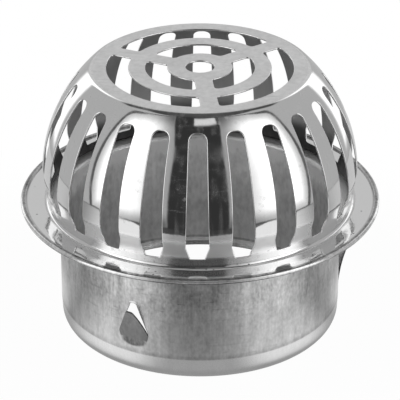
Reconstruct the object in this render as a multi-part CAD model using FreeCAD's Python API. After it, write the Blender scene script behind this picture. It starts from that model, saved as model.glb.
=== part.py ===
"""Dome strainer for a floor or roof drain, pressed from stainless sheet.

Two drawn sheets make the drain. The strainer is a round dome with a pierced crown, slotted sides and a flat
flange. The collar is the spigot that drops into the waste pipe: its rim is rolled over the edge of the
strainer's flange and holds it for good, and three lanced barbs grip the pipe. Millimetres, +Z up, the
origin at the middle of the collar's lower edge, the front towards -Y.
"""
import FreeCAD, Part
import math
import os
from FreeCAD import Vector

# Sheet
SHEET = 0.6                 # thickness of both pressings

# Collar
COLLAR_R = 50.3             # outer radius of the straight wall
COLLAR_H = 45.1             # lower edge to the underside of its flange
LIP_BAND_H = 4.3            # height of the band that leans in below the wall
LIP_LEAN = 3.0              # degrees that the band leans
LIP_ROLL_R = 5.0            # outside radius of the rolled lower edge
LIP_TURN = 50.0             # degrees from upright to the cut edge

# Barbs lanced out of the collar wall
BARB_COUNT = 3
BARB_FIRST = -27.4          # azimuth of the first barb, degrees from the front towards +X
BARB_ABOVE_LIP = 3.6        # leaning band to the hinge line
BARB_FOOT_W = 9.8           # width at the hinge line
BARB_W = 11.4               # width at its shoulders, before they are rounded
BARB_TIP_W = 2.2            # width at the tip
BARB_H = 15.9               # hinge line to tip, before it is bent out
BARB_SHOULDER_H = 4.4       # hinge line to the shoulders, before it is bent out
BARB_SHOULDER_R = 3.0
BARB_TIP_R = 1.1            # corners of the tip
BARB_TILT = 13.0            # degrees that a barb stands out of the wall

# Rolled rim that joins the two sheets
RIM_LIP = 0.85              # flat of the rolled edge, from the roll to its cut edge
RIM_GAP = 0.1               # edge of the strainer's flange to the inside of the roll
FLANGE_FLAT = 6.75          # foot of the dome to the outside of the rim

# Dome of the strainer, heights above the top of its flange
CROWN_H = 50.4              # flat crown
SIDE_R = 56.0               # outer radius of the side, which is part of a ball
SIDE_H = 9.7                # middle of that ball
WAIST_H = 11.3              # lower edge of the side, where the wall turns in
NECK_R = 54.15              # outer radius of the upright neck below it
NECK_H = 1.3                # height of the neck
CREASE_R = 3.0              # outside radius where the crown turns into the side
FOOT_R = 3.1                # radius where the neck turns out into the flange

# Crown pattern, from the centre outwards
HOLE_R = 5.0                # middle hole
HUB_RING_W = 6.4            # ring around the middle hole
ARC_SLOT_W = 7.7            # both rows of arc-shaped slots
MID_RING_W = 5.9            # ring between the two rows
SPOKE_COUNT = 3
SPOKE_FIRST = 6.0           # azimuth of the first spoke, degrees
SPOKE_W = 6.3
ARC_CORNER_R = 1.3          # corners of the arc-shaped slots

# Upright slots around the side
SLOT_COUNT = 22
SLOT_FIRST = -0.9           # azimuth of the first slot, degrees
SLOT_DROP = 4.9             # crown down to the top of a slot
SLOT_ABOVE_FOOT = 0.2       # top of the foot's bend up to the lower end of a slot
SLOT_TOP_W = 6.0
SLOT_TOP_FLAT = 0.8         # straight stretch between the rounded corners of the top
SLOT_W = 8.0                # widest place, just above the narrowed lower end
SLOT_SIDE_R = 3.0           # corners at the widest place
SLOT_END_W = 5.0            # width at the lower end
SLOT_END_H = 4.6            # height over which the lower end narrows
SLOT_END_R = 0.7            # corners of the lower end

# Heights and radii that follow from the sizes above
FLANGE_BOTTOM = COLLAR_H + SHEET
FLANGE_TOP = FLANGE_BOTTOM + SHEET
CROWN_Z = FLANGE_TOP + CROWN_H
NECK_Z = FLANGE_TOP + FOOT_R
RIM_R = NECK_R + FOOT_R + FLANGE_FLAT
RIM_INSIDE_R = RIM_R - SHEET
RIM_ROLL_R = 1.5 * SHEET
RIM_EDGE_R = RIM_R - RIM_ROLL_R - RIM_LIP
ROLL_H = LIP_ROLL_R * (math.sin(math.radians(LIP_TURN)) - math.sin(math.radians(LIP_LEAN)))
LIP_H = ROLL_H + LIP_BAND_H
HINGE_Z = LIP_H + BARB_ABOVE_LIP
INNER_ARC_R = HOLE_R + HUB_RING_W
OUTER_ARC_R = INNER_ARC_R + ARC_SLOT_W + MID_RING_W

AXIS = Vector(0, 0, 1)
ORIGIN = Vector(0, 0, 0)


def at(radius, height):
    """A point of a half section, which lies in the XZ plane."""
    return Vector(radius, 0, height)


def around_point(centre, radius, degrees):
    """A point at this angle and distance from a centre, counted from outwards towards up."""
    angle = math.radians(degrees)
    return centre + at(radius * math.cos(angle), radius * math.sin(angle))


def straight(*points):
    """Straight edges of a half section through these points."""
    return [Part.LineSegment(a, b).toShape() for a, b in zip(points, points[1:])]


def arc(centre, radius, first, last):
    """A round edge of a half section between two angles."""
    angles = (first, (first + last) / 2, last)
    return Part.Arc(*[around_point(centre, radius, a) for a in angles]).toShape()


def pressed(outer, inner, seam):
    """A sheet turned about the axis, from the two lines of its half section. The turn starts at the azimuth
    of the seam, which keeps it clear of what is cut later."""
    ends = straight(outer[0].firstVertex().Point, inner[0].firstVertex().Point)
    ends += straight(outer[-1].lastVertex().Point, inner[-1].lastVertex().Point)
    section = Part.Face(Part.Wire(Part.__sortEdges__(outer + inner + ends)))
    section.rotate(ORIGIN, AXIS, seam - 90)
    return section.revolve(ORIGIN, AXIS, 360)


def stands_on(edge, corner):
    """Whether an edge of a punch runs out from this corner of its outline."""
    return all(abs(v.X - corner.x) + abs(v.Z - corner.z) < 1e-6 for v in edge.Vertexes)


def punch(corners, rounded, reach):
    """A punch that goes out through the front wall. rounded gives a radius for pairs of its corners."""
    block = Part.Face(Part.makePolygon(corners + corners[:1])).extrude(Vector(0, -reach, 0))
    for pair, radius in rounded:
        edges = [e for e in block.Edges if any(stands_on(e, corner) for corner in pair)]
        block = block.makeFillet(radius, edges)
    return block


def spread(shape, count, first):
    """Copies of a shape, evenly around the axis from the azimuth of the first."""
    copies = [shape.copy() for _ in range(count)]
    for i, copy in enumerate(copies):
        copy.rotate(ORIGIN, AXIS, first + i * 360 / count)
    return copies


def dome_skin(depth):
    """Half section of the dome at a depth below its outer face, from the middle hole out to the flange."""
    side = at(0, FLANGE_TOP + SIDE_H)
    waist = math.degrees(math.asin((WAIST_H - SIDE_H) / SIDE_R))
    crease_rise = CROWN_H - CREASE_R - SIDE_H
    crease = side + at(math.sqrt((SIDE_R - CREASE_R) ** 2 - crease_rise ** 2), crease_rise)
    shoulder = math.degrees(math.atan2(crease_rise, crease.x))
    foot = at(NECK_R + FOOT_R, NECK_Z)
    neck_r = NECK_R - depth
    flange_z = FLANGE_TOP - depth
    return [
        *straight(at(HOLE_R, CROWN_Z - depth), at(crease.x, CROWN_Z - depth)),
        arc(crease, CREASE_R - depth, 90, shoulder),
        arc(side, SIDE_R - depth, shoulder, waist),
        *straight(around_point(side, SIDE_R - depth, waist), at(neck_r, NECK_Z + NECK_H), at(neck_r, NECK_Z)),
        arc(foot, FOOT_R + depth, 180, 270),
        *straight(at(foot.x, flange_z), at(RIM_INSIDE_R - RIM_GAP, flange_z)),
    ]


def arc_slots(inner_r):
    """One row of the crown's slots: a ring parted by the spokes, with rounded corners."""
    depth = 2 * CREASE_R
    foot = Vector(0, 0, CROWN_Z - CREASE_R)
    ring = Part.makeCylinder(inner_r + ARC_SLOT_W, depth, foot).cut(Part.makeCylinder(inner_r, depth, foot))
    spoke = Part.makeBox(SPOKE_W, SIDE_R, depth, foot - Vector(SPOKE_W / 2, SIDE_R, 0))
    slots = ring.cut(Part.makeCompound(spread(spoke, SPOKE_COUNT, SPOKE_FIRST))).Solids
    rounded = []
    for slot in slots:
        upright = [e for e in slot.Edges if abs(e.BoundBox.ZLength - depth) < 1e-6]
        rounded.append(slot.makeFillet(ARC_CORNER_R, upright))
    return rounded


def side_slots():
    """The upright slots, which widen downwards and then narrow to their lower ends."""
    end_z = NECK_Z + SLOT_ABOVE_FOOT
    top = [at(s * SLOT_TOP_W / 2, CROWN_Z - SLOT_DROP) for s in (1, -1)]
    sides = [at(s * SLOT_W / 2, end_z + SLOT_END_H) for s in (-1, 1)]
    end = [at(s * SLOT_END_W / 2, end_z) for s in (-1, 1)]
    top_r = (SLOT_TOP_W - SLOT_TOP_FLAT) / 2
    outline = top + sides[:1] + end + sides[1:]
    slot = punch(outline, [(top, top_r), (sides, SLOT_SIDE_R), (end, SLOT_END_R)], 2 * SIDE_R)
    return spread(slot, SLOT_COUNT, SLOT_FIRST)


def strainer():
    """The dome, pierced first through the crown and then around the side."""
    dome = pressed(dome_skin(0), dome_skin(SHEET), SLOT_FIRST + 180 / SLOT_COUNT)
    crown = dome.cut(arc_slots(INNER_ARC_R) + arc_slots(OUTER_ARC_R))
    return crown.cut(side_slots()).Solids[0]


def lip_skin(depth):
    """Half section of the collar's lip at a depth below its outer face: the rolled edge and the band."""
    band = at(COLLAR_R - LIP_BAND_H * math.tan(math.radians(LIP_LEAN)), ROLL_H)
    roll = around_point(band, LIP_ROLL_R, 180 - LIP_LEAN)
    roll_r = LIP_ROLL_R - depth
    return [
        arc(roll, roll_r, -LIP_TURN, -LIP_LEAN),
        *straight(around_point(roll, roll_r, -LIP_LEAN), at(COLLAR_R - depth, LIP_H)),
    ]


def collar_outside():
    """Half section of the collar's outer face, from the lip up the wall, along the flange and over the rim."""
    rim = at(RIM_R - RIM_ROLL_R, COLLAR_H + RIM_ROLL_R)
    rim_top = rim.z + RIM_ROLL_R
    return [
        *lip_skin(0),
        *straight(at(COLLAR_R, LIP_H), at(COLLAR_R, COLLAR_H), at(rim.x, COLLAR_H)),
        arc(rim, RIM_ROLL_R, -90, 90),
        *straight(at(rim.x, rim_top), at(RIM_EDGE_R, rim_top)),
    ]


def collar_inside():
    """Half section of the collar's inner face, pressed square around the edge of the strainer's flange."""
    wall_r = COLLAR_R - SHEET
    return lip_skin(SHEET) + straight(
        at(wall_r, LIP_H), at(wall_r, FLANGE_BOTTOM), at(RIM_INSIDE_R, FLANGE_BOTTOM),
        at(RIM_INSIDE_R, FLANGE_TOP), at(RIM_EDGE_R, FLANGE_TOP))


def lance(height):
    """The outline of a barb of this height, as a punch through the front wall."""
    foot = [at(s * BARB_FOOT_W / 2, HINGE_Z) for s in (1, -1)]
    shoulders = [at(s * BARB_W / 2, HINGE_Z + BARB_SHOULDER_H * height / BARB_H) for s in (-1, 1)]
    tip = [at(s * BARB_TIP_W / 2, HINGE_Z + height) for s in (-1, 1)]
    corners = foot + [shoulders[0]] + tip + [shoulders[1]]
    return punch(corners, [(shoulders, BARB_SHOULDER_R), (tip, BARB_TIP_R)], 2 * COLLAR_R)


def flare_skin(depth):
    """Half section of the ring that the barbs are part of: the wall above the hinge line, bent outwards."""
    tilt = math.radians(BARB_TILT)
    wall_r = COLLAR_R - depth
    return straight(at(wall_r, HINGE_Z), at(wall_r + BARB_H * math.sin(tilt), HINGE_Z + BARB_H * math.cos(tilt)))


def collar():
    """The collar with its barbs lanced: each is cut free on two sides and bent out about its foot."""
    seam = BARB_FIRST + 180 / BARB_COUNT
    wall = pressed(collar_outside(), collar_inside(), seam)
    flare = pressed(flare_skin(0), flare_skin(SHEET), seam)
    bent_h = BARB_H * math.cos(math.radians(BARB_TILT))
    barbs = [flare.common(barb) for barb in spread(lance(bent_h), BARB_COUNT, BARB_FIRST)]
    return wall.cut(spread(lance(BARB_H), BARB_COUNT, BARB_FIRST)).fuse(barbs).Solids[0]


os.makedirs("parts", exist_ok=True)
strainer().exportStep("parts/dome_strainer.step")
collar().exportStep("parts/collar.step")
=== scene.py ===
from bisect import bisect
from itertools import accumulate
from math import acos, asin, atan2, cos, degrees, dist, hypot, pi, radians, sin, sqrt, tan

import bpy
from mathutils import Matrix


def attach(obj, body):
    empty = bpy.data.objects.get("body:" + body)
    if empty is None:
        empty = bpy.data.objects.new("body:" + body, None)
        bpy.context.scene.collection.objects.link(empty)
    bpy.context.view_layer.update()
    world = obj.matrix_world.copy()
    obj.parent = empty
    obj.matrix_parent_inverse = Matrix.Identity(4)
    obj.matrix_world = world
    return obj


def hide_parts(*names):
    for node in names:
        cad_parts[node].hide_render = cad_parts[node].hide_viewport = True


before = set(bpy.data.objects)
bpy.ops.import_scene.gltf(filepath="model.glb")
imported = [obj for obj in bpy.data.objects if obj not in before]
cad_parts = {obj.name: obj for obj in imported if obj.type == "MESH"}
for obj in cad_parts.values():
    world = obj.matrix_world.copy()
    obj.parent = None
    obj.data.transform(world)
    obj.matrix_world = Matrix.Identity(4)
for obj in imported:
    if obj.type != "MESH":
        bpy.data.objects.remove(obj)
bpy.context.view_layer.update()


# The strainer is one sheet of stainless steel, drawn into a dome, pierced and deburred. Its side and flange
# are mirror polished and its flat crown is left satin. The collar's rolled rim holds it by the flange.
# Sizes are in millimetres and angles in degrees, and an azimuth counts from the front.
MM = 0.001
SHEET = 0.6
CROWN_Z, FLANGE_Z = 96.7, 46.3
HOLE_R, FLANGE_EDGE_R = 5.0, 63.3
BALL_R, BALL_Z = 56.0, 56.0
CREASE_R, WAIST_R, NECK_BEND_R, FOOT_R = 3.0, 9.0, 5.0, 1.2
NECK_R, NECK_Z, NECK_LEAN = 54.15, 50.7, 14.83
SLOTS, SLOT_FIRST = 22, -0.9
SLOT_TOP_Z, SLOT_WIDE_Z, SLOT_END_Z = 91.8, 54.2, 49.6
SLOT_TOP_W, SLOT_W, SLOT_END_W = 6.0, 8.0, 5.0
SLOT_TOP_R, SLOT_SIDE_R, SLOT_END_R = 2.6, 3.0, 0.7
SPOKES, SPOKE_FIRST, SPOKE_W = 3, 6.0, 6.3
INNER_ARC, OUTER_ARC, MID_RING_R, ARC_CORNER_R = (11.4, 19.1), (25.0, 32.7), 22.05, 1.3
BURR_W, BURR_R = 0.36, 0.24
CREASE_MARGIN, FOOT_MARGIN = 0.4, 1.0

# steps of the mesh: along half a slot's outline, and around the end of half an arc-shaped slot
SLOT_LINE_STEPS, SLOT_ARC_STEPS = [2, 26, 4, 5], [8, 4, 4]
TOP_STEPS, FOOT_STEPS = 6, 7
CORNER_STEPS, END_STEPS, SPOKE_STEPS = 6, 4, 10
RIB_ROWS, CREASE_ROWS, FOOT_ROWS, FLANGE_ROWS, RING_ROWS = 8, 8, 14, 2, 2
SEAM_GAP, WELD_REACH = 0.004, 0.1
CUT_ANGLE, SMOOTH_ANGLE = 50, 40


def line(start, end, steps):
    """Points along a straight line, both ends included."""
    shares = [i / steps for i in range(steps + 1)]
    return [(start[0] + (end[0] - start[0]) * s, start[1] + (end[1] - start[1]) * s) for s in shares]


def bend(middle, radius, first, last, steps):
    """Points along an arc between two angles, both ends included."""
    turns = [radians(first + (last - first) * i / steps) for i in range(steps + 1)]
    return [(middle[0] + radius * cos(a), middle[1] + radius * sin(a)) for a in turns]


def evenly(start, end, steps):
    return [start + (end - start) * i / steps for i in range(steps + 1)]


def cut_line(corners, radii, line_steps, arc_steps):
    """Points of the right half of a cut, from its top to its foot, with the corners between rounded."""
    points = [corners[0]]
    for i, (radius, arc) in enumerate(zip(radii, arc_steps), 1):
        (ax, ay), (bx, by), (cx, cy) = corners[i - 1:i + 2]
        first = degrees(atan2(bx - ax, ay - by))
        last = degrees(atan2(cx - bx, by - cy))
        trim = radius * tan(radians(first - last) / 2)
        length = dist((ax, ay), (bx, by))
        start = (bx + (ax - bx) * trim / length, by + (ay - by) * trim / length)
        points += line(points[-1], start, line_steps[i - 1])[1:]
        if radius:
            middle = (start[0] - radius * cos(radians(first)), start[1] - radius * sin(radians(first)))
            points += bend(middle, radius, first, last, arc)[1:]
    return points + line(points[-1], corners[-1], line_steps[-1])[1:]


class Section:
    """Half section of a round sheet: points of radius and height, and the run along it to each of them."""

    def __init__(self, points):
        self.points = [p for p, q in zip(points, points[1:]) if dist(p, q) > 1e-6] + points[-1:]
        lengths = (dist(p, q) for p, q in zip(self.points, self.points[1:]))
        self.runs = list(accumulate(lengths, initial=0))

    def place(self, run):
        """Radius and height at a run."""
        i = min(max(bisect(self.runs, run), 1), len(self.runs) - 1)
        share = (run - self.runs[i - 1]) / (self.runs[i] - self.runs[i - 1])
        (r0, z0), (r1, z1) = self.points[i - 1], self.points[i]
        return r0 + (r1 - r0) * share, z0 + (z1 - z0) * share

    def run_at(self, height):
        """Run to the first place at a height."""
        levels = [z for _, z in self.points]
        steps = zip(levels, levels[1:])
        i = next(i for i, (a, b) in enumerate(steps) if a != b and min(a, b) <= height <= max(a, b))
        share = (height - levels[i]) / (levels[i + 1] - levels[i])
        return self.runs[i] + (self.runs[i + 1] - self.runs[i]) * share

    def bent(self, flat_cut):
        """A cut that is drawn flat, as seen from straight outside, as places on the sheet."""
        runs = [self.run_at(z) for x, z in flat_cut]
        return [(degrees(asin(x / self.place(run)[0])), run) for (x, z), run in zip(flat_cut, runs)]


def pressed(section, columns):
    """A grid of sheet pressed into the form of its section. Each column is a row of places, and a place is
    an azimuth and a run along the section."""
    across, along = len(columns) - 1, len(columns[0]) - 1
    bpy.ops.mesh.primitive_grid_add(x_subdivisions=across, y_subdivisions=along, size=2)
    piece = bpy.context.object
    for point in piece.data.vertices:
        column = columns[round((point.co.x + 1) / 2 * across)]
        turn, run = column[round((point.co.y + 1) / 2 * along)]
        radius, height = section.place(run)
        x, y = radius * sin(radians(turn)), -radius * cos(radians(turn))
        point.co = (x * MM, y * MM, height * MM)
    return piece


def bands(section, turns, runs, rows):
    """Plain stretches of the sheet from each run to the next, in so many rows, with columns at the turns."""
    stretches = zip(runs, runs[1:], rows)
    return [pressed(section, [line((turn, a), (turn, b), n) for turn in turns]) for a, b, n in stretches]


def around_cut(section, cut, border, rows):
    """The sheet around a cut that is the same left and right: a narrow row along the cut, and rows out to a
    border. Both are given for the right half only."""
    columns = []
    for (turn, run), (border_turn, border_run) in zip(cut, border):
        middle_r = section.place((run + border_run) / 2)[0]
        share = BURR_W / hypot(border_run - run, radians(border_turn - turn) * middle_r)
        inner = (turn + (border_turn - turn) * share, run + (border_run - run) * share)
        columns.append([(turn, run)] + line(inner, (border_turn, border_run), rows))
    other = [[(-turn, run) for turn, run in column] for column in reversed(columns)]
    return [pressed(section, columns), pressed(section, other)]


def joined(pieces):
    bpy.ops.object.select_all(action="DESELECT")
    for piece in pieces:
        piece.select_set(True)
    bpy.context.view_layer.objects.active = pieces[0]
    bpy.ops.object.join()
    return bpy.context.object


def repeated(pieces, count, first):
    """The pieces as one, turned to the azimuth of the first and copied evenly around the axis."""
    whole = joined(pieces)
    bpy.ops.object.mode_set(mode="EDIT")
    bpy.ops.mesh.select_all(action="SELECT")
    bpy.ops.transform.rotate(value=-radians(first), orient_axis="Z", center_override=(0, 0, 0))
    copies = count - 1
    last_turn = 2 * pi * copies / count
    bpy.ops.mesh.spin(steps=copies, dupli=True, angle=last_turn, center=(0, 0, 0), axis=(0, 0, 1))
    bpy.ops.object.mode_set(mode="OBJECT")
    return whole


def finished(piece, name, burr):
    """The sheet closed along its seams and given its thickness, with its cut edges rounded. Its inner face
    takes the second of its materials."""
    bpy.ops.object.mode_set(mode="EDIT")
    bpy.ops.mesh.select_all(action="SELECT")
    bpy.ops.mesh.remove_doubles(threshold=SEAM_GAP * MM)
    bpy.ops.mesh.normals_make_consistent(inside=False)
    bpy.ops.object.mode_set(mode="OBJECT")
    piece.name = piece.data.name = name
    sheet = piece.modifiers.new("sheet", "SOLIDIFY")
    sheet.thickness = SHEET * MM
    sheet.offset = -1
    sheet.use_even_offset = True
    sheet.material_offset = len(piece.data.materials) - 1
    bpy.ops.object.modifier_apply(modifier=sheet.name)
    if burr:
        edges = piece.modifiers.new("cut edges", "BEVEL")
        edges.width = burr * MM
        edges.segments = 3
        edges.use_clamp_overlap = False
        edges.limit_method = "ANGLE"
        edges.angle_limit = radians(CUT_ANGLE)
        bpy.ops.object.modifier_apply(modifier=edges.name)
    bpy.ops.object.shade_smooth_by_angle(angle=radians(SMOOTH_ANGLE))


crease_rise = CROWN_Z - CREASE_R - BALL_Z
crease_r = sqrt((BALL_R - CREASE_R) ** 2 - crease_rise ** 2)
shoulder = degrees(atan2(crease_rise, crease_r))
neck_lean = radians(NECK_LEAN)
ball_to_wall = NECK_R * cos(neck_lean) + (BALL_Z - NECK_Z) * sin(neck_lean)
waist_top = degrees(acos((ball_to_wall - WAIST_R) / (BALL_R - WAIST_R))) - NECK_LEAN
waist = bend((0, BALL_Z), BALL_R - WAIST_R, waist_top, waist_top, 1)[0]
neck_bend = (NECK_R + NECK_BEND_R, NECK_Z - NECK_BEND_R * tan(neck_lean / 2))
dome = Section(
    line((0, CROWN_Z), (crease_r, CROWN_Z), 1)
    + bend((crease_r, CROWN_Z - CREASE_R), CREASE_R, 90, shoulder, 40)
    + bend((0, BALL_Z), BALL_R, shoulder, waist_top, 400)
    + bend(waist, WAIST_R, waist_top, -NECK_LEAN, 60)
    + bend(neck_bend, NECK_BEND_R, 180 - NECK_LEAN, 180, 30)
    + bend((NECK_R + FOOT_R, FLANGE_Z + FOOT_R), FOOT_R, 180, 270, 60)
    + line((NECK_R + FOOT_R, FLANGE_Z), (FLANGE_EDGE_R, FLANGE_Z), 1))
flange_run, flange_edge_run = dome.runs[-2:]

# one slot of the side, with the crease above it and the foot and flange below
half_pitch = 180 / SLOTS
crease_run = crease_r + radians(90 - shoulder) * CREASE_R + CREASE_MARGIN
foot_run = dome.run_at(SLOT_END_Z) + FOOT_MARGIN
slot_corners = [(0, SLOT_TOP_Z), (SLOT_TOP_W / 2, SLOT_TOP_Z), (SLOT_W / 2, SLOT_WIDE_Z),
                (SLOT_END_W / 2, SLOT_END_Z), (0, SLOT_END_Z)]
slot_radii = [SLOT_TOP_R, SLOT_SIDE_R, SLOT_END_R]
slot = dome.bent(cut_line(slot_corners, slot_radii, SLOT_LINE_STEPS, SLOT_ARC_STEPS))
slot_runs = [run for turn, run in slot[TOP_STEPS:-FOOT_STEPS]]
border = line((0, crease_run), (half_pitch, crease_run), TOP_STEPS)
for i, run in enumerate(slot_runs[1:-1], 1):
    by_count = i / (len(slot_runs) - 1)
    by_run = (run - slot_runs[0]) / (slot_runs[-1] - slot_runs[0])
    border.append((half_pitch, crease_run + (foot_run - crease_run) * (by_count + by_run) / 2))
border += line((half_pitch, foot_run), (0, foot_run), FOOT_STEPS)
top_turns = evenly(-half_pitch, half_pitch, 2 * TOP_STEPS)
foot_turns = evenly(-half_pitch, half_pitch, 2 * FOOT_STEPS)
ribs = around_cut(dome, slot, border, RIB_ROWS)
ribs += bands(dome, top_turns, [crease_run, crease_r], [CREASE_ROWS])
ribs += bands(dome, foot_turns, [foot_run, flange_run, flange_edge_run], [FOOT_ROWS, FLANGE_ROWS])
slotted_side = repeated(ribs, SLOTS, SLOT_FIRST)

# one arc-shaped slot of each row of the crown, from spoke to spoke, with as many columns as the side has
half_turn = 180 / SPOKES
ring_steps = SLOTS * TOP_STEPS // SPOKES
arc_steps = ring_steps - (2 * CORNER_STEPS + END_STEPS - SPOKE_STEPS) // 2
from_spoke = SPOKE_W / 2 + ARC_CORNER_R
crown_rows = (INNER_ARC, HOLE_R, MID_RING_R), (OUTER_ARC, MID_RING_R, crease_r)
rings = []
for (inner_r, outer_r), border_in, border_out in crown_rows:
    outer_x = sqrt((outer_r - ARC_CORNER_R) ** 2 - from_spoke ** 2)
    inner_x = sqrt((inner_r + ARC_CORNER_R) ** 2 - from_spoke ** 2)
    outer_turn = degrees(atan2(from_spoke, outer_x))
    inner_turn = degrees(atan2(from_spoke, inner_x))
    end = bend((outer_x, from_spoke), ARC_CORNER_R, outer_turn, -90, CORNER_STEPS)
    end += line((outer_x, SPOKE_W / 2), (inner_x, SPOKE_W / 2), END_STEPS)[1:]
    end += bend((inner_x, from_spoke), ARC_CORNER_R, -90, inner_turn - 180, CORNER_STEPS)[1:]
    arc = line((0, outer_r), (half_turn - outer_turn, outer_r), arc_steps)
    arc += [(half_turn - degrees(atan2(y, x)), hypot(x, y)) for x, y in end[1:-1]]
    arc += line((half_turn - inner_turn, inner_r), (0, inner_r), arc_steps)
    border = line((0, border_out), (half_turn, border_out), ring_steps)
    border += line((half_turn, border_out), (half_turn, border_in), SPOKE_STEPS)[1:]
    border += line((half_turn, border_in), (0, border_in), ring_steps)[1:]
    rings += around_cut(dome, arc, border, RING_ROWS)
slotted_crown = repeated(rings, SPOKES, SPOKE_FIRST + half_turn)
strainer = joined([slotted_side, slotted_crown])

# the crown welded to the side, where each point of its edge is close to one of the side's
bpy.ops.object.mode_set(mode="EDIT")
bpy.ops.mesh.select_all(action="DESELECT")
bpy.ops.object.mode_set(mode="OBJECT")
for point in strainer.data.vertices:
    point.select = abs(hypot(point.co.x, point.co.y) / MM - crease_r) < SEAM_GAP
bpy.ops.object.mode_set(mode="EDIT")
bpy.ops.mesh.remove_doubles(threshold=WELD_REACH * MM)
bpy.ops.object.mode_set(mode="OBJECT")


class Wire:
    """A socket of a node tree. Sums written with it add Math nodes, and node() adds any other kind."""

    def __init__(self, tree, socket=None):
        self.tree = tree
        self.socket = socket

    def node(self, kind, settings=None, sockets=None, out=0):
        made = self.tree.nodes.new("ShaderNode" + kind)
        for name, value in (settings or {}).items():
            setattr(made, name, value)
        for name, value in (sockets or {}).items():
            if isinstance(value, Wire):
                self.tree.links.new(value.socket, made.inputs[name])
            else:
                made.inputs[name].default_value = value
        return Wire(self.tree, made.outputs[out] if made.outputs else None)

    def math(self, operation, *others):
        return self.node("Math", {"operation": operation}, dict(enumerate((self, *others))))

    def rise(self, start, end):
        """0 below start, 1 above end and smooth between them."""
        spread = {"Value": self, "From Min": start, "From Max": end}
        return self.node("MapRange", {"interpolation_type": "SMOOTHSTEP"}, spread)

    def between(self, start, full, fade, end):
        """1 from full to fade, 0 below start and above end, and smooth between them."""
        return self.rise(start, full) * (1 - self.rise(fade, end))

    def grain(self, scale, stretch=(1, 1, 1), detail=3.0):
        """Noise about 0.5 with this many grains a metre, drawn out or pressed together along each axis."""
        drawn = self.node("VectorMath", {"operation": "MULTIPLY"}, {0: self, 1: stretch})
        return self.node("TexNoise", sockets={"Vector": drawn, "Scale": scale, "Detail": detail})

    def spots(self, scale, core, edge):
        """Scattered spots, this many a metre: 1 in a spot's core and 0 past its edge."""
        return 1 - self.node("TexVoronoi", sockets={"Vector": self, "Scale": scale}).rise(core, edge)

    def grey(self):
        return self.node("CombineColor", sockets={0: self, 1: self, 2: self})

    def __add__(self, other):
        return self.math("ADD", other)

    def __sub__(self, other):
        return self.math("SUBTRACT", other)

    def __rsub__(self, other):
        return self * -1.0 + other

    def __mul__(self, other):
        return self.math("MULTIPLY", other)

    def __truediv__(self, other):
        return self.math("DIVIDE", other)

    __radd__ = __add__
    __rmul__ = __mul__


def new_material(piece, name):
    """A material added to the piece, as the start of its nodes."""
    material = bpy.data.materials.new(name)
    material.use_nodes = True
    material.node_tree.nodes.clear()
    piece.data.materials.append(material)
    return Wire(material.node_tree)


def cylinder_places(shade):
    """The place on the piece in metres, its radius and height in millimetres, and its azimuth."""
    place = shade.node("TexCoord", out="Object")
    x, y, z = (shade.node("SeparateXYZ", sockets={0: place}, out=axis) for axis in "XYZ")
    turn = x.math("ARCTAN2", y * -1.0) * (180 / pi)
    return place, (x * x + y * y).math("SQRT") / MM, z / MM, turn


# the outer face: polished steel with a matt neck that is painted lighter towards the front, thin marks of
# use, a satin crown, a line of painted shade inside the rim and a painted highlight ring at the foot's
# corner
POLISHED_ROUGH, MATT_ROUGH, SATIN_ROUGH = 0.05, 0.32, 0.34
SIDE_GREY = 0.74
WAVES_H, FLANGE_WAVES_H = 0.01, 0.07
shade = new_material(strainer, "polished_steel")
place, radius, height, turn = cylinder_places(shade)
crown = height.rise(CROWN_Z - 0.2, CROWN_Z - 0.02)
flange = 1 - height.rise(FLANGE_Z + 0.3, FLANGE_Z + 1.7)
foot = 1 - height.rise(SLOT_END_Z - 0.6, SLOT_END_Z + 0.9)
# the neck: a matt finish, with a painted lighter tone that is strongest at the front and fades towards the
# sides
neck_front = 1 - 0.8 * turn.math("ABSOLUTE").rise(36, 54)
neck = height.between(SLOT_END_Z - 0.4, SLOT_END_Z + 1.2, BALL_Z + 0.5, BALL_Z + 2.5) * neck_front
# painted shade: a dark line on the flange just inside the collar's rolled rim
seam_shade = radius.rise(FLANGE_EDGE_R - 1.9, FLANGE_EDGE_R - 1.4)
# painted highlight: a thin ring round the foot's corner with its metal taken away, so that it shows bright
from_corner = radius - (NECK_R + FOOT_R)
foot_ring_highlight = flange * from_corner.between(-0.65, -0.25, -0.05, 0.35)
specks = place.spots(420.0, 0.10, 0.16) * place.grain(70.0, detail=1.0).rise(0.55, 0.62) * flange
drops = place.spots(380.0, 0.10, 0.34) * place.grain(130.0, detail=1.0).rise(0.54, 0.64)
drops = drops * (1 - crown) * (1 - flange)
smudges = place.grain(110.0, detail=5.0).rise(0.50, 0.72)
mottle = place.grain(500.0, detail=5.0) - 0.5
blotches = place.grain(90.0, detail=4.0) - 0.5
streaks = place.grain(330.0, (1, 1, 0.05), detail=4.0).rise(0.52, 0.75)
rubs = place.grain(1100.0, (0.06, 0.06, 1)).rise(0.60, 0.76)
scores = place.grain(420.0, (0.12, 1, 1)).rise(0.62, 0.72) * blotches.rise(0.0, 0.1)
# less metal where the film of use lies, and in the painted highlight ring
film_and_ring_highlight = (0.07 * smudges + 0.12 * streaks + 0.10 * rubs + 0.12 * foot) * (1 - flange)
film_and_ring_highlight = film_and_ring_highlight + 0.25 * drops + 0.8 * foot_ring_highlight
polish = POLISHED_ROUGH + 0.06 * smudges + 0.10 * foot - 0.06 * flange
matt = MATT_ROUGH + 0.3 * blotches
satin = SATIN_ROUGH + 0.2 * mottle
rough = polish + neck * (matt - polish) + crown * (satin - polish)
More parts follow.
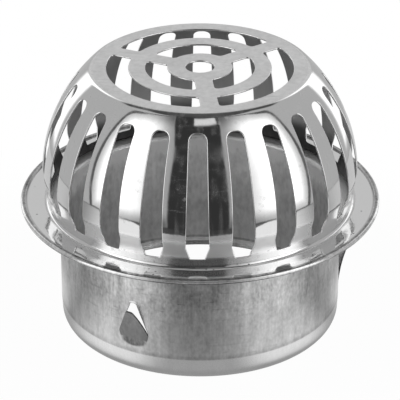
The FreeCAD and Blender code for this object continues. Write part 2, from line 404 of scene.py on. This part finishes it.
# the tone: painted light on the neck, painted shade in the line inside the rim, and dark specks on the
# flange
tone = SIDE_GREY + 0.20 * neck - 0.02 * foot - 0.25 * seam_shade - 0.6 * specks
tone = tone + crown * (0.34 * mottle + 0.2 * blotches - 0.1 * scores)
waves = place.grain(200.0, detail=2.0) * (FLANGE_WAVES_H * MM * flange + WAVES_H * MM)
steel = shade.node("BsdfPrincipled", sockets={
    "Base Color": tone.grey(), "Metallic": 1.0 - 0.26 * neck - film_and_ring_highlight, "Roughness": rough,
    "Normal": shade.node("Bump", sockets={"Height": waves, "Distance": 1.0, "Strength": 1.0})})
shade.node("OutputMaterial", sockets={"Surface": steel})

# the inner face: plain drawn steel, with painted shade in the pocket above the flange
INSIDE_GREY, INSIDE_ROUGH = 0.50, 0.38
shade = new_material(strainer, "inside_of_strainer")
place, _, height, _ = cylinder_places(shade)
# painted shade: the inside is darker in the pocket above the flange
pocket_shade = 1 - height.rise(BALL_Z - 3.0, BALL_Z + 3.0)
tone = INSIDE_GREY + 0.10 * (place.grain(300.0, (1, 1, 0.2)) - 0.5) - 0.42 * pocket_shade
steel = shade.node("BsdfPrincipled", sockets={
    "Base Color": tone.grey(), "Metallic": 1.0, "Roughness": INSIDE_ROUGH + 0.1 * pocket_shade})
shade.node("OutputMaterial", sockets={"Surface": steel})

finished(strainer, "strainer", BURR_R)
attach(strainer, "root")
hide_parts("dome_strainer")


# The collar is a second sheet of stainless steel, drawn into a sleeve with a satin skin. Its top is turned
# out into a flange and rolled over the strainer's edge, its lower lip leans inwards, and three barbs are
# lanced out of its wall.
COLLAR_R, UNDER_FLANGE_Z, FOLD_R = 50.3, 45.1, 0.8
LIP_ROLL_R, LIP_TURN, LIP_LEAN, LIP_BAND_H = 5.0, 50.0, 3.0, 4.3
RIM_MIDDLE_R, RIM_MIDDLE_Z, RIM_ROLL_R, RIM_EDGE_R = 63.1, 46.0, 0.9, 62.25
BARBS, BARB_FIRST, BARB_CURL, BARB_TRIM = 3, -27.4, 28.0, 1.5
BARB_FOOT_Z, BARB_SHOULDER_Z, BARB_TIP_Z = 11.47, 15.87, 27.37
BARB_FOOT_W, BARB_SHOULDER_W, BARB_TIP_W = 9.8, 11.4, 2.2
BARB_SHOULDER_R, BARB_TIP_R = 3.0, 1.1
WINDOW_TOP_Z, WINDOW_FOOT_Z = 30.4, 9.1

# steps of the mesh: the turn from column to column, the columns of half a barb and the rows of the wall
COLUMN_TURN, BARB_STEPS, ROLL_STEPS, WINDOW_ROWS = 1.5, 6, 24, 4
BELOW_ROWS, ABOVE_ROWS = [6, 3, 1], [3, 8, 3, 16, 1]
WINDOW_LINE_STEPS, WINDOW_ARC_STEPS = [2, 10, 4, BARB_STEPS], [8, 8, 0]

lip_roll_z = LIP_ROLL_R * sin(radians(LIP_TURN))
lip_roll_r = COLLAR_R - LIP_BAND_H * tan(radians(LIP_LEAN)) - LIP_ROLL_R * cos(radians(LIP_LEAN))
lip_z = lip_roll_z - LIP_ROLL_R * sin(radians(LIP_LEAN))
wall_z = lip_z + LIP_BAND_H
fold_z = UNDER_FLANGE_Z - FOLD_R
sleeve = Section(
    bend((lip_roll_r, lip_roll_z), LIP_ROLL_R, -LIP_TURN, -LIP_LEAN, 24)
    + [(COLLAR_R, wall_z)]
    + bend((COLLAR_R + FOLD_R, fold_z), FOLD_R, 180, 90, 12)
    + bend((RIM_MIDDLE_R, RIM_MIDDLE_Z), RIM_ROLL_R, -90, 90, ROLL_STEPS)
    + [(RIM_EDGE_R, RIM_MIDDLE_Z + RIM_ROLL_R)])
third = 180 / BARBS
turns = evenly(-third, third, round(2 * third / COLUMN_TURN))
window_foot, window_top = sleeve.run_at(WINDOW_FOOT_Z), sleeve.run_at(WINDOW_TOP_Z)
fold_end, roll_start = sleeve.runs[-3 - ROLL_STEPS], sleeve.runs[-2 - ROLL_STEPS]
below = [0, sleeve.run_at(lip_z), sleeve.run_at(wall_z), window_foot]
above = [window_top, sleeve.run_at(fold_z), fold_end, roll_start] + sleeve.runs[-2:]
wall = bands(sleeve, turns, below, BELOW_ROWS) + bands(sleeve, turns, above, ABOVE_ROWS)

# one window, with the sheet around it and the rest of its third of the wall
window_corners = [(0, BARB_TIP_Z), (BARB_TIP_W / 2, BARB_TIP_Z), (BARB_SHOULDER_W / 2, BARB_SHOULDER_Z),
                  (BARB_FOOT_W / 2, BARB_FOOT_Z), (0, BARB_FOOT_Z)]
window_radii = [BARB_TIP_R, BARB_SHOULDER_R, 0]
window = sleeve.bent(cut_line(window_corners, window_radii, WINDOW_LINE_STEPS, WINDOW_ARC_STEPS))
tip, edge = window[:BARB_STEPS + 1], window[BARB_STEPS:-BARB_STEPS]
edge_rows = len(edge) - 1
aside_turn = BARB_STEPS * COLUMN_TURN
border = line((0, window_top), (aside_turn, window_top), BARB_STEPS)
border += line((aside_turn, window_top), (aside_turn, window_foot), edge_rows)[1:]
border += line((aside_turn, window_foot), (0, window_foot), BARB_STEPS)[1:]
wall += around_cut(sleeve, window, border, WINDOW_ROWS)
for hand in (-1, 1):
    side_turns = evenly(hand * aside_turn, hand * third, round((third - aside_turn) / COLUMN_TURN))
    wall += bands(sleeve, side_turns, [window_top, window_foot], [edge_rows])

# the barb that was cut from the window, curled outwards from its foot
reach = BARB_TIP_Z - BARB_FOOT_Z - BARB_TRIM
shorter = reach / (BARB_TIP_Z - BARB_FOOT_Z)
curl_r = reach / radians(BARB_CURL)
tongue = Section(bend((COLLAR_R + curl_r, BARB_FOOT_Z), curl_r, 180, 180 - BARB_CURL, 40))
corner_turn, corner_run = edge[0]
hinge_run = edge[-1][1]
columns = []
for i in range(-BARB_STEPS, BARB_STEPS + 1):
    across = i / BARB_STEPS
    tip_turn, tip_run = tip[abs(i)]
    turn_more = (tip_turn if i > 0 else -tip_turn) - corner_turn * across
    run_more = tip_run - corner_run
    column = []
    for j, (turn, run) in enumerate(edge):
        to_tip = (1 - j / edge_rows) ** 2
        column.append((turn * across + turn_more * to_tip, (run - hinge_run + run_more * to_tip) * shorter))
    columns.append(column)
wall.append(pressed(tongue, columns))
collar = repeated(wall, BARBS, BARB_FIRST)

# the outer face: satin steel with upright draw marks, blotches and rubs. It has painted shade on the barbs,
# round their hinges, over the lip, on top of the rolled rim and under it, a painted glint over each barb's
# tip and a painted highlight along the rim's outer edge
COLLAR_GREY, COLLAR_ROUGH = 0.48, 0.34
LIP_LINE_Z, HATCH_TURN = 8.0, -3.0
# the painted shade round each barb's hinge and the painted glint over its tip: their half sizes, and how far
# the shade's middle rises above the barb's foot
HINGE_SHADE_HALF_W, HINGE_SHADE_HALF_H, HINGE_SHADE_RISE = 5.1, 2.5, 1.2
GLINT_HALF_W, GLINT_HALF_H = 1.7, 0.9
shade = new_material(collar, "satin_steel")
place, radius, height, turn = cylinder_places(shade)
above_lip = height - LIP_LINE_Z
lip = 1 - above_lip.rise(-0.6, 0.0)
# painted shade: a dark line just over the lip, where the wall turns into the lip's band
crease = above_lip.between(-0.6, 0.0, 0.2, 2.0)
past_roll = radius - RIM_MIDDLE_R
above_roll = height - RIM_MIDDLE_Z
rim = past_roll.rise(-1.1, -0.7)
# painted shade: a dark line along the top of the rolled rim
roll_top_shade = past_roll.between(-0.7, -0.4, 0.0, 0.3) * above_roll.rise(0.5, 0.7)
# painted highlight: a lighter, smoother and less metallic band along the outer edge of the rolled rim
roll_highlight = past_roll.rise(0.35, 0.5) * above_roll.rise(-0.3, 0.0)
# painted shade on the underside of the rolled rim
under = past_roll.rise(-0.3, 0.1) * (1 - above_roll.rise(-0.5, -0.1))
# painted shade: the barbs' tongues, where they stand out from the wall, are darker and carry fewer marks
barb = (radius - COLLAR_R).rise(0.005, 0.08) * (1 - (height - WINDOW_TOP_Z).rise(-1.9, -0.9))
aside = (turn + (third - BARB_FIRST)).math("FLOORED_MODULO", 2 * third) - third
aside = aside * (COLLAR_R * pi / 180)
# painted shade in a round patch over each barb's hinge
from_hinge = (height - (BARB_FOOT_Z + HINGE_SHADE_RISE)) / HINGE_SHADE_HALF_H
hinge_shade = 1 - (aside * aside / HINGE_SHADE_HALF_W ** 2 + from_hinge * from_hinge).rise(0.55, 1.15)
above_tip = height - BARB_TIP_Z
glint = aside * aside / GLINT_HALF_W ** 2 + above_tip * above_tip / GLINT_HALF_H ** 2
glint = (1 - glint.rise(0.5, 1.1)) * above_tip.rise(0.03, 0.23)
streaks = place.grain(520.0, (1, 1, 0.10), detail=4.0) - 0.5
hairlines = place.grain(1500.0, (1, 1, 0.03)) - 0.5
blotches = place.grain(110.0, (1, 1, 0.6), detail=5.0) - 0.5
grains = place.grain(1100.0, (1, 1, 0.6), detail=4.0) - 0.5
patches = place.grain(300.0, (1, 1, 0.4), detail=6.0) - 0.5
rubs = place.grain(1000.0, (0.08, 0.08, 1), detail=4.0).rise(0.55, 0.72) * place.grain(60.0).rise(0.45, 0.6)
hatched = (1 - (turn - HATCH_TURN).math("ABSOLUTE").rise(6, 17)) * height.rise(26.5, 32.0)
marks = 0.18 * streaks + 0.20 * hairlines + 0.34 * blotches + 0.46 * grains + 0.46 * patches - 0.16 * rubs
marks = marks * (0.6 + 0.5 * height.rise(14, 34)) - hatched * (0.05 + 0.3 * rubs)
tone = COLLAR_GREY + marks * (1 - 0.7 * barb) * (1 - 0.75 * lip) + 0.12 * lip - 0.10 * crease
tone = tone - 0.32 * barb.math("MAXIMUM", hinge_shade) + 0.35 * glint
tone = tone - 0.38 * under - 0.20 * roll_top_shade + 0.20 * roll_highlight
rough = COLLAR_ROUGH + 0.12 * blotches - 0.08 * lip - 0.16 * rim - 0.06 * roll_highlight
steel = shade.node("BsdfPrincipled", sockets={
    "Base Color": tone.grey(), "Metallic": 1.0 - 0.34 * roll_highlight, "Roughness": rough})
shade.node("OutputMaterial", sockets={"Surface": steel})

# the inner face: pale drawn steel, with a band of painted light under the fold, and a painted highlight
# along the inside of the lip between lines of painted shade
BORE_GREY, BORE_ROUGH = 0.84, 0.36
shade = new_material(collar, "inside_of_collar")
place, _, height, _ = cylinder_places(shade)
streaks = place.grain(420.0, (1, 1, 0.04), detail=4.0) - 0.5
blotches = place.grain(130.0, detail=4.0) - 0.5
grains = place.grain(700.0, (1, 1, 0.5), detail=4.0) - 0.5
past_fold = height - fold_z
# painted light: a lighter band under the fold, with less metal in it so that it takes more light
under_fold_light = past_fold.rise(-7.8, -0.8)
light_band = past_fold.rise(-8.5, -7.5) * (1 - 0.6 * past_fold.rise(-4.3, 0.2))
# painted shade at the lip's edge and in a line above it, and a painted highlight between them, made matt
lip_edge_shade = 1 - height.rise(1.4, 1.7)
lip_shine = height.between(1.4, 1.7, 2.6, 2.9)
lip_dip_shade = height.between(2.6, 2.9, 3.4, 3.9)
tone = BORE_GREY + 0.34 * streaks + 0.50 * blotches + 0.50 * grains
tone = tone + 0.3 * under_fold_light + 0.18 * lip_shine - 0.3 * lip_edge_shade - 0.3 * lip_dip_shade
steel = shade.node("BsdfPrincipled", sockets={
    "Base Color": tone.grey(), "Metallic": 1.0 - lip_shine - 0.5 * light_band,
    "Roughness": BORE_ROUGH + 0.1 * under_fold_light})
shade.node("OutputMaterial", sockets={"Surface": steel})

finished(collar, "collar_sheet", 0)
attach(collar, "root")
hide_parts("collar")


# The floor is a round white table on which the drain stands. It ends a short way in front of the drain, as
# the reflections in the steel show. The camera sees it as plain white, with a faint shadow. The steel sees a
# painted glow instead: the painted light and shade of a table lit from both sides, and painted shade under
# the drain with a lighter ring.
FLOOR_R, FLOOR_FRONT = 272.0, 195.0
bpy.ops.object.select_all(action="DESELECT")
bpy.ops.mesh.primitive_circle_add(vertices=128, radius=FLOOR_R * MM, fill_type="NGON", location=(0, 0, 0))
floor = bpy.context.object
floor.name = "floor"
shade = new_material(floor, "white_table")
_, radius, _, turn = cylinder_places(shade)
off_front = turn.math("ABSOLUTE")
ahead = radius * (turn * (pi / 180)).math("COSINE")
to_camera = shade.node("LightPath", out="Is Camera Ray")
mirrored = shade.node("LightPath", out="Is Glossy Ray")
# the painted glow that the steel mirrors: light and shade of a table lit from both sides, darker past the
# table's front edge and near its rim
sheen = 0.36 + 0.67 * off_front.rise(14, 36) - 0.72 * off_front.rise(52, 84)
sheen = sheen + 0.18 * (1 - radius.rise(60, 85))
sheen = sheen + 0.7 * off_front.rise(78, 104) * (1 - 0.5 * radius.rise(60, 76))
sheen = sheen * (1 - 0.85 * ahead.rise(FLOOR_FRONT - 4, FLOOR_FRONT + 4))
sheen = sheen * (1 - 0.5 * radius.rise(FLOOR_R - 10, FLOOR_R - 4))
outside = radius.rise(50, 56)
# painted shade under the drain, with a lighter ring
under_drain_glow = 0.16 + 0.30 * radius.rise(20, 34) * (1 - off_front.rise(95, 130))
seen = outside * sheen + (1 - outside) * under_drain_glow
lit = shade.node("BsdfDiffuse", sockets={"Color": (0.9, 0.9, 0.9, 1)})
shown = shade.node("Emission", sockets={"Color": (to_camera + seen * (1 - to_camera)).grey()})
share_shown = to_camera * (0.97 + 0.03 * radius.rise(80, 150)) + mirrored * (1 - to_camera)
table = shade.node("MixShader", sockets={"Fac": share_shown, 1: lit, 2: shown})
shade.node("OutputMaterial", sockets={"Surface": table})


# The studio is a pale grey room with two tall soft boxes at the sides of the camera, and the dark place
# between them where the camera stands. The camera itself sees plain white behind the drain.
BOX_INNER, BOX_OUTER, BOX_TOP, BOX_FOOT = 23.0, 82.0, 63.5, -15.0
ROOM_GREY, GAP_GREY = 0.52, 0.04
world = bpy.data.worlds.new("studio")
bpy.context.scene.world = world
world.use_nodes = True
world.node_tree.nodes.clear()
sky = Wire(world.node_tree)
direction = sky.node("TexCoord", out="Generated")
x, y, z = (sky.node("SeparateXYZ", sockets={0: direction}, out=axis) for axis in "XYZ")
turn = x.math("ARCTAN2", y * -1.0) * (180 / pi)
up = z.math("ARCSINE") * (180 / pi)
off_front = turn.math("ABSOLUTE")
right = (turn / off_front + 1.0) * 0.5

# the boxes lean outwards at the top, and each has a bright outer side, a dim edge and a dark frame
high = (up - 30.0).math("MAXIMUM", 0.0)
box_lean = high * high * (0.0135 - 0.007 * right)
beside = (off_front - box_lean + 2.2 * right).rise(BOX_INNER - 1.4, BOX_INNER + 1.4)
box_top = BOX_TOP - 0.0045 * (off_front - 20.0) * (off_front - 20.0)
depth = (BOX_OUTER + 0.06 * up - off_front).math("SMOOTH_MIN", box_top - up, 8.0)
depth = depth.math("MINIMUM", up - BOX_FOOT)
boxes = depth.rise(-0.5, 0.5) * beside
box_light = (0.42 + 1.7 * (off_front - box_lean).rise(22, 64)) * (0.35 + 0.65 * depth.rise(0, 11))
frames = depth.between(-3.0, -2.0, -0.5, 0.5) * beside
gap = (1 - beside) * (1 - up.rise(66, 74)) * (1 - off_front.rise(50, 60))

# the room has a dark ceiling, a lighter rear wall, a lit patch above the camera and two light strips behind
rear = off_front.rise(140, 160) * up.rise(4, 18)
ceiling = (off_front.rise(95, 115) * up.rise(48, 54)).math("MAXIMUM", up.rise(62, 67))
room = (ROOM_GREY + 0.18 * rear) * (1 - 0.85 * ceiling)
patch = turn.between(-9, -7, 21, 23) * up.between(58, 60, 63, 65)
strips = off_front.between(133, 137, 148, 154) * up.between(-15, -10, 36, 54)
level = room * (1 - gap) * (1 - boxes) * (1 - 0.8 * frames) + GAP_GREY * gap
level = level + box_light * boxes + 0.8 * patch + strips
to_camera = sky.node("LightPath", out="Is Camera Ray")
strength = to_camera + level * (1 - to_camera)
background = sky.node("Background", sockets={"Color": (1, 1, 1, 1), "Strength": strength})
sky.node("OutputWorld", sockets={"Surface": background})


# The camera stands in front of the drain and above it, with a long lens. Its place in metres, its pitch and
# its lens are those that fit the outlines of the photograph.
CAMERA_AT = (0, -0.77991, 0.44959)
CAMERA_PITCH = 27.459
LENS, SENSOR = 220.84, 36
view = bpy.data.cameras.new("camera")
view.lens = LENS
view.sensor_width = SENSOR
camera = bpy.data.objects.new("camera", view)
camera.location = CAMERA_AT
camera.rotation_euler = (radians(90 - CAMERA_PITCH), 0, 0)
bpy.context.scene.collection.objects.link(camera)
bpy.context.scene.camera = camera
bpy.context.scene.view_settings.view_transform = "Standard"
